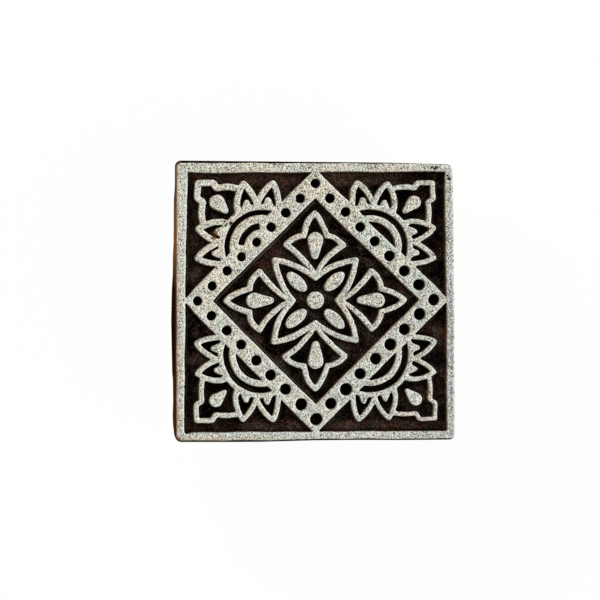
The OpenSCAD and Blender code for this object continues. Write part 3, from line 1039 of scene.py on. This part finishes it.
def stained_wood_material(looks):
    """Dye-stained sheesham: dense hardwood, sawn and gouged, black with old dye in the carving. It is
    dull to the eye, mottled red-brown in the ground but for painted shade next to the walls, with chalk dust
    and painted light on the upper walls, and streaked with grain and stain on the sides."""
    material, add = new_material("stained_sheesham")
    place = add("TexCoord")["Object"]
    spot = add("SeparateXYZ", (place,))
    recess, dust_and_light, out_of_wall_shade, away, foot, chip = [
        add("Attribute", attribute_name=name)["Fac"] for name in BLOCK_MARKS]
    grain, pores = wood_grain(add, place, BLOCK_PITH, looks.ring, looks.pore)
    streaks = add("MapRange", (grain, 0.2, 0.8, 0.3, -0.3))[0]
    streaked = add("Math", (soaked_share(add, looks, place, spot), streaks), operation="ADD")[0]
    sides = layered(add, looks.bare, (looks.stain, streaked, 0, 1), (looks.stain, pores, 0, 1, 0, 0.6))

    casts = add("TexNoise", {"Vector": place, "Scale": 2 / looks.blot, "Detail": 2.0})["Fac"]
    cells = add("TexVoronoi", {"Vector": place, "Scale": 1 / looks.fleck})["Color"]
    flecks = add("SeparateColor", (cells,))["Red"]
    sharp = add("Math", (flecks, 4.0), operation="POWER")[0]
    worn = layered(add, looks.rust, (looks.slate, casts, 0.4, 0.6))
    thinned = thinned_dye(add, looks, place, spot)
    # Next to the walls the worn red-brown is held back by painted shade
    worn_thin = combined(add, "MULTIPLY", (thinned, 0, 2, 0, 2), (sharp, 0, 1, 0.25, 2), (out_of_wall_shade, 0, 1))
    # A pale line runs along the foot of some walls
    line = combined(
        add, "MULTIPLY", (away, 0.33, 0.47), (away, 0.55, 0.7, 1, 0), (casts, 0.3, 0.5, 0.6, 1),
        (foot, 0, 2, 0, 2))
    # Over the ground: flecks, the pale line, and chalk dust with painted light on the upper walls
    ground = layered(
        add, looks.ground, (worn, worn_thin, 0, 1), (looks.dust_and_light, flecks, 0.88, 1, 0, 0.3),
        (looks.dust_and_light, line, 0, 1), (looks.dust_and_light, dust_and_light, 0, 1), (looks.chip, chip, 0.1, 0.5))
    colour = layered(add, sides, (ground, recess, 0, 1))
    shine = {"Roughness": 0.9, "IOR": 1.5, "Specular IOR Level": 0.0}
    give_surface(add, colour, grain, 0.4, 0.15 * MM, shine)
    return material


def thinned_dye(add, looks, place, spot):
    """How far the dye in the ground is worn thin: in blots, in a strip along the foot and one along the top,
    in a rubbed place, and a little more in the upper left and lower right quarters."""
    blots = add("TexNoise", {
        "Vector": place, "Scale": 1 / looks.blot, "Detail": 4.0, "Roughness": 0.65})["Fac"]
    blots = add("MapRange", (blots, 0.28, 0.72))[0]
    blots = add("Math", (blots, 2.5), operation="POWER")[0]
    foot_strip = combined(
        add, "MULTIPLY", (spot["Y"], -24.6 * MM, -25.6 * MM, 0, 0.42), (spot["Y"], -27 * MM, -26.5 * MM),
        (spot["X"], -25 * MM, 12 * MM, 0.25, 1))
    top_strip = combined(
        add, "MULTIPLY", (spot["Y"], 24 * MM, 25.2 * MM, 0, 0.5), (spot["X"], 12 * MM, 24 * MM, 1, 0.1))
    rubbed = add("VectorMath", (place, RUBBED_PLACE), operation="DISTANCE")["Value"]
    across = add("Math", (spot["X"], spot["Y"]), operation="MULTIPLY")[0]
    return combined(
        add, "ADD", (blots, 0, 1), (foot_strip, 0, 1), (top_strip, 0, 1), (rubbed, 4 * MM, 8 * MM, 0.3, 0),
        (across, 80 * MM * MM, -80 * MM * MM, -0.07, 0.03))


def soaked_share(add, looks, place, spot):
    """How far the sides are soaked with dye: from the top edge down in uneven runs, and on the left side all
    the way down except for a bare patch behind its middle."""
    low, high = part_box("carved_block")
    runs = add("TexNoise", {"Vector": place, "Scale": 1 / looks.run, "Detail": 3.0})["Fac"]
    aside = add("MapRange", (runs, 0.25, 0.75, -2 * MM, 2 * MM))[0]
    along = add("Math", (spot["Y"], aside), operation="ADD")[0]
    below = add("MapRange", (runs, 0.25, 0.75, -4 * MM, 4 * MM))[0]
    height = add("Math", (spot["Z"], below), operation="ADD")[0]
    on_left = (spot["X"], *LEFT_SIDE, 1, 0)
    front = combined(
        add, "MULTIPLY", (along, 9 * MM, 3.5 * MM, 0, 1.1), (along, -16 * MM, -12 * MM, 0.75, 1), on_left)
    back = combined(add, "MULTIPLY", (along, 19.5 * MM, 25 * MM), on_left)
    soaked = combined(add, "MULTIPLY", (height, low.z, high.z - 2 * MM, 0.3, 1.1), (spot["X"], *LEFT_SIDE))
    for part in (front, back):
        soaked = add("Math", (soaked, part), operation="MAXIMUM")[0]
    return soaked


def oiled_wood_material(looks):
    """Oiled sheesham: dense hardwood, shaved round and polished by the hand. It is warm brown to
    the eye with dark streaks along the bar, and has a soft sheen."""
    material, add = new_material("oiled_sheesham")
    place = add("TexCoord")["Object"]
    grain, pores = wood_grain(add, place, HANDLE_PITH, looks.ring, looks.pore)
    grime = add("TexNoise", {
        "Vector": place, "Scale": 1 / looks.grime, "Detail": 3.0, "Roughness": 0.6})["Fac"]
    light = combined(add, "ADD", (grain, 0.2, 0.75), (grime, 0.45, 0.75, 0, -0.6))
    colour = layered(add, looks.dark, (looks.pale, light, 0, 1), (looks.dark, pores, 0, 1, 0, 0.7))
    shine = {"Roughness": 0.6, "IOR": 1.5, "Specular IOR Level": 0.2}
    give_surface(add, colour, pores, 0.3, -0.1 * MM, shine)
    return material


def nail_steel_material(looks):
    """Mild steel wire: drawn, then hammered home. It is dull grey to the eye with brown rust."""
    material, add = new_material("nail_steel")
    place = add("TexCoord")["Object"]
    blots = add("TexNoise", {
        "Vector": place, "Scale": 1 / looks.blot, "Detail": 4.0, "Roughness": 0.7})["Fac"]
    rusted = (blots, 0.45, 0.6)
    clean = add("MapRange", (*rusted, 1, 0))[0]
    rough = add("MapRange", (*rusted, 0.42, 0.85))[0]
    colour = layered(add, looks.steel, (looks.rust, *rusted))
    give_surface(add, colour, blots, 0.4, 0.08 * MM, {"Roughness": rough, "Metallic": clean})
    return material


def seen_directly(add):
    """1 where the camera sees a surface by itself, in a mirror or through glass, and otherwise 0."""
    path = add("LightPath")
    mirrored = add("Math", (path["Is Glossy Ray"], path["Is Transmission Ray"]), operation="ADD")[0]
    return add("Math", (path["Is Camera Ray"], mirrored), operation="ADD", use_clamp=True)[0]


def floor_material(looks):
    """Matt white paper: white where the camera looks at it, with the object's soft shadow."""
    material, add = new_material("white_paper")
    share = add("MapRange", (seen_directly(add), 0, 1, 0, looks.floor_white))[0]
    paper = add("BsdfDiffuse", {"Color": looks.floor})[0]
    white = add("Emission", {"Strength": 1.0})[0]
    mixed = add("MixShader", (share, paper, white))
    add("OutputMaterial", {"Surface": mixed[0]})
    return material


# Operators

class PRINTING_BLOCK_OT_carve(bpy.types.Operator):
    """Carves the block with its relief, dots and sawn sides"""
    bl_idname = "printing_block.carve"
    bl_label = "Carved block"

    def execute(self, context):
        props = context.scene.printing_block
        shape = carved_block_mesh(props.carving)
        material = stained_wood_material(props.wood)
        piece("carved_wood_block", shape, material, "carved_block")
        return {"FINISHED"}


class PRINTING_BLOCK_OT_chalk(bpy.types.Operator):
    """Lays the chalk ground on the lands"""
    bl_idname = "printing_block.chalk"
    bl_label = "Chalk ground"

    def execute(self, context):
        props = context.scene.printing_block
        shape = chalk_ground_mesh(props.carving)
        material = chalk_ground_material(props.chalk)
        piece("chalk_ground_patches", shape, material, "ground_coat")
        return {"FINISHED"}


class PRINTING_BLOCK_OT_handle(bpy.types.Operator):
    """Shapes the handle under the block"""
    bl_idname = "printing_block.handle"
    bl_label = "Handle"

    def execute(self, context):
        props = context.scene.printing_block
        shape = handle_mesh(props.handle)
        material = oiled_wood_material(props.handle)
        piece("worn_handle", shape, material, "handle")
        return {"FINISHED"}


class PRINTING_BLOCK_OT_nails(bpy.types.Operator):
    """Drives the two nails through the handle"""
    bl_idname = "printing_block.nails"
    bl_label = "Nails"

    def execute(self, context):
        props = context.scene.printing_block
        shape = nails_mesh(props.nails)
        material = nail_steel_material(props.nails)
        piece("driven_nails", shape, material, "handle_nails")
        return {"FINISHED"}


class PRINTING_BLOCK_OT_stage(bpy.types.Operator):
    """Sets up the floor, the light and the camera"""
    bl_idname = "printing_block.stage"
    bl_label = "Stage"

    def execute(self, context):
        looks = context.scene.printing_block.stage
        context.scene.view_settings.view_transform = "Standard"
        lay_floor(context, looks)
        hang_lights(context, looks)
        set_camera(context, looks)
        return {"FINISHED"}


# Half the floor's side in metres
FLOOR_HALF = 1.5
# Each lamp's name, place and width in metres, and power in watts
LAMPS = (("key_light", (-0.55, 0.6, 0.75), 0.7, 9.0), ("fill_light", (0.7, -0.35, 0.6), 0.9, 4.0))


def lay_floor(context, looks):
    """A square of white paper under the block."""
    mesh = bpy.data.meshes.new("floor")
    corners = [(x * FLOOR_HALF, y * FLOOR_HALF, 0) for x, y in ((-1, -1), (1, -1), (1, 1), (-1, 1))]
    mesh.from_pydata(corners, [], [(0, 1, 2, 3)])
    mesh.materials.append(floor_material(looks))
    floor = bpy.data.objects.new("floor", mesh)
    context.scene.collection.objects.link(floor)


def hang_lights(context, looks):
    """Two broad soft lamps and an even, pale surround, which the camera sees as white."""
    target = Vector((0, 0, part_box("carved_block")[1].z))
    for name, place, width, watts in LAMPS:
        lamp = bpy.data.lights.new(name, "AREA")
        lamp.size = width
        lamp.energy = watts
        hung = bpy.data.objects.new(name, lamp)
        hung.location = place
        hung.rotation_euler = (target - Vector(place)).to_track_quat("-Z", "Y").to_euler()
        context.scene.collection.objects.link(hung)
    world = bpy.data.worlds.new("studio")
    world.use_nodes = True
    world.node_tree.nodes.clear()
    add = partial(add_node, world.node_tree)
    strength = add("MapRange", (seen_directly(add), 0, 1, looks.surround, 1))[0]
    light = add("Background", {"Strength": strength, "Color": (1, 1, 1, 1)})
    add("OutputWorld", {"Surface": light[0]})
    context.scene.world = world


def set_camera(context, looks):
    """A long lens almost straight above the face, leaning a little to the left and the front."""
    camera = bpy.data.cameras.new("camera")
    camera.lens = camera.sensor_width * looks.distance / looks.view_width
    camera.clip_start = 10 * MM
    placed = bpy.data.objects.new("camera", camera)
    face_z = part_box("ground_coat")[1].z
    back = Vector((-math.tan(looks.side_angle), -math.tan(looks.front_angle), 1)).normalized()
    aim = Vector((looks.aim_x, looks.aim_y, face_z))
    up = Vector((math.sin(looks.turn), math.cos(looks.turn), 0))
    right = up.cross(back).normalized()
    up = back.cross(right)
    turned = Matrix((right, up, back)).transposed().to_4x4()
    turned.translation = aim + back * looks.distance
    placed.matrix_world = turned
    context.scene.collection.objects.link(placed)
    context.scene.camera = placed


class PRINTING_BLOCK_PT_sidebar(bpy.types.Panel):
    """Lists the pieces of the printing block and its stage"""
    bl_label = "Printing block"
    bl_idname = "PRINTING_BLOCK_PT_sidebar"
    bl_space_type = "VIEW_3D"
    bl_region_type = "UI"
    bl_category = "Printing block"

    def draw(self, context):
        for operator in OPERATORS:
            self.layout.operator(operator.bl_idname)


OPERATORS = (PRINTING_BLOCK_OT_carve, PRINTING_BLOCK_OT_chalk, PRINTING_BLOCK_OT_handle,
             PRINTING_BLOCK_OT_nails, PRINTING_BLOCK_OT_stage)
CLASSES = (CarvingSizes, WoodLooks, ChalkLooks, HandleLooks, NailLooks, StageLooks, PrintingBlock,
           *OPERATORS, PRINTING_BLOCK_PT_sidebar)


def register():
    for cls in CLASSES:
        bpy.utils.register_class(cls)
    bpy.types.Scene.printing_block = PointerProperty(type=PrintingBlock)


def unregister():
    del bpy.types.Scene.printing_block
    for cls in reversed(CLASSES):
        bpy.utils.unregister_class(cls)


def main():
    """Makes all pieces and the stage."""
    register()
    bpy.ops.printing_block.carve()
    bpy.ops.printing_block.chalk()
    bpy.ops.printing_block.handle()
    bpy.ops.printing_block.nails()
    bpy.ops.printing_block.stage()


if __name__ == "__main__":
    main()
